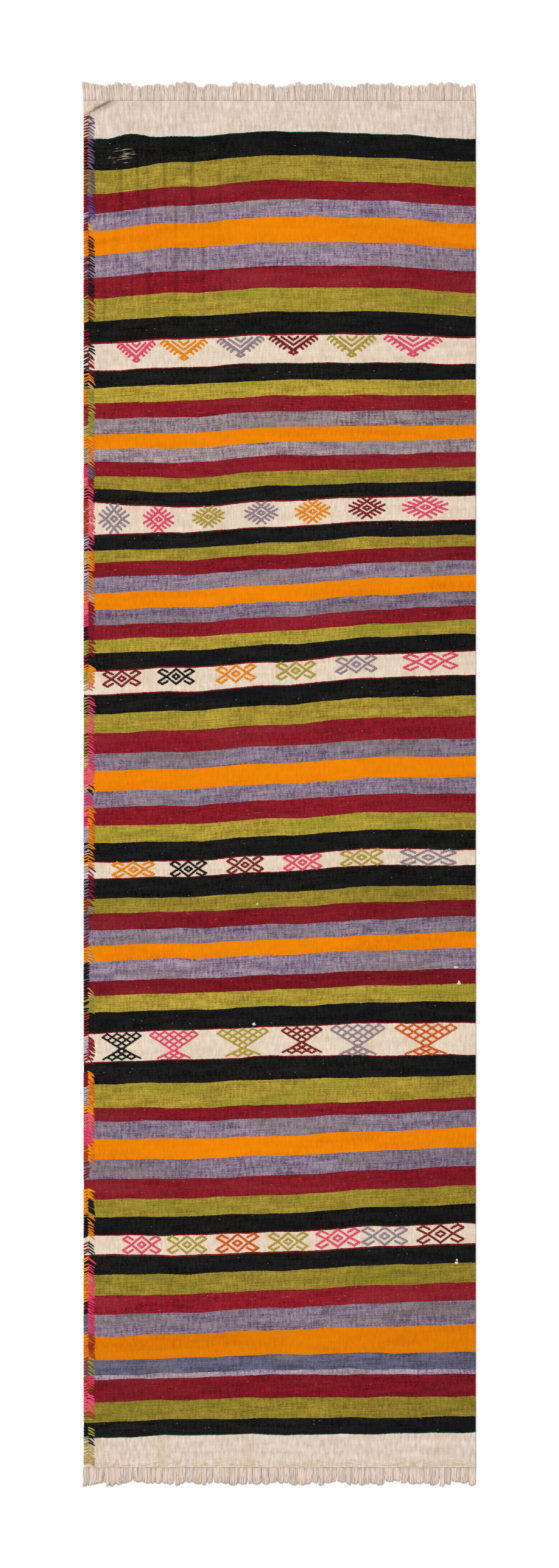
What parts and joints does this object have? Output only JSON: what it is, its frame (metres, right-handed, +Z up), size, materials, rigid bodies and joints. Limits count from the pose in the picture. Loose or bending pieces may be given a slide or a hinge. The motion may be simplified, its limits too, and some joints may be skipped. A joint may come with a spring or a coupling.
{
  "type": "runner rug",
  "caption": "Long flat-woven striped wool rug with brocaded figures, an overcast edge and fringed ends, which folds in three.",
  "frame": {"origin": "middle of the underside, in the middle of the rug's length and width", "axes": "+X from the overcast edge to the plain selvedge, +Y along the length towards the end with the turned corner, +Z up from the floor"},
  "size_m": [0.8, 2.871, 0.0041],
  "materials": {
    "cream_wool": "weft-faced undyed wool, matte, slightly stained",
    "warp_wool": "loose plied undyed warp ends, matte",
    "striped_wool": "weft-faced dyed wool in black, olive, burgundy, lavender and orange stripes, matte",
    "overcast_wool": "plied wool yarn wrapped over the edge in changing colours, low sheen",
    "black_wool": "dyed wool yarn, matte",
    "olive_wool": "dyed wool yarn, matte",
    "burgundy_wool": "dyed wool yarn, matte",
    "lavender_wool": "dyed wool yarn, matte",
    "orange_wool": "dyed wool yarn, matte",
    "pink_wool": "dyed wool yarn, matte"
  },
  "bodies": {
    "panel_top": {"burr_figure_2_1_lavender": "lavender_wool", "burr_figure_2_2_pink": "pink_wool", "burr_figure_2_3_olive": "olive_wool", "burr_figure_2_4_lavender": "lavender_wool", "burr_figure_2_5_orange": "orange_wool", "burr_figure_2_6_burgundy": "burgundy_wool", "burr_figure_2_7_pink": "pink_wool", "end_band_top": "cream_wool", "fringe_top": "warp_wool", "ground_band_1": "cream_wool", "ground_band_2": "cream_wool", "overcast_edge_top": "overcast_wool", "striped_field_1": "striped_wool", "striped_field_2": "striped_wool", "striped_field_3_top": "striped_wool", "triangle_figure_1_1_pink": "pink_wool", "triangle_figure_1_2_orange": "orange_wool", "triangle_figure_1_3_lavender": "lavender_wool", "triangle_figure_1_4_burgundy": "burgundy_wool", "triangle_figure_1_5_olive": "olive_wool", "triangle_figure_1_6_pink": "pink_wool"},
    "panel_middle": {"ground_band_3": "cream_wool", "ground_band_4": "cream_wool", "hooked_figure_3_1_burgundy": "burgundy_wool", "hooked_figure_3_2_black": "black_wool", "hooked_figure_3_3_orange": "orange_wool", "hooked_figure_3_4_olive": "olive_wool", "hooked_figure_3_5_lavender": "lavender_wool", "hooked_figure_3_6_pink": "pink_wool", "hooked_figure_4_1_orange": "orange_wool", "hooked_figure_4_2_black": "black_wool", "hooked_figure_4_3_burgundy": "burgundy_wool", "hooked_figure_4_4_pink": "pink_wool", "hooked_figure_4_5_olive": "olive_wool", "hooked_figure_4_6_lavender": "lavender_wool", "overcast_edge_middle": "overcast_wool", "striped_field_3_middle": "striped_wool", "striped_field_4": "striped_wool", "striped_field_5_middle": "striped_wool"},
    "panel_bottom": {"end_band_bottom": "cream_wool", "fringe_bottom": "warp_wool", "ground_band_5": "cream_wool", "ground_band_6": "cream_wool", "hooked_figure_6_1_pink": "pink_wool", "hooked_figure_6_2_olive": "olive_wool", "hooked_figure_6_3_orange": "orange_wool", "hooked_figure_6_4_olive": "olive_wool", "hooked_figure_6_5_pink": "pink_wool", "hooked_figure_6_6_lavender": "lavender_wool", "hooked_figure_6_7_burgundy": "burgundy_wool", "net_figure_5_1_black": "black_wool", "net_figure_5_2_pink": "pink_wool", "net_figure_5_3_olive": "olive_wool", "net_figure_5_4_burgundy": "burgundy_wool", "net_figure_5_5_lavender": "lavender_wool", "net_figure_5_6_orange": "orange_wool", "overcast_edge_bottom": "overcast_wool", "striped_field_5_bottom": "striped_wool", "striped_field_6": "striped_wool", "striped_field_7": "striped_wool"}
  },
  "joints": [
    {"name": "top_fold", "type": "hinge", "parent": "panel_middle", "child": "panel_top", "pos_m": [0, 0.4915, 0.007], "axis": [1, 0, 0], "range_deg": [0, 179.9]},
    {"name": "bottom_fold", "type": "hinge", "parent": "panel_middle", "child": "panel_bottom", "pos_m": [0, -0.4735, 0.0125], "axis": [-1, 0, 0], "range_deg": [0, 179.9]}
  ]
}
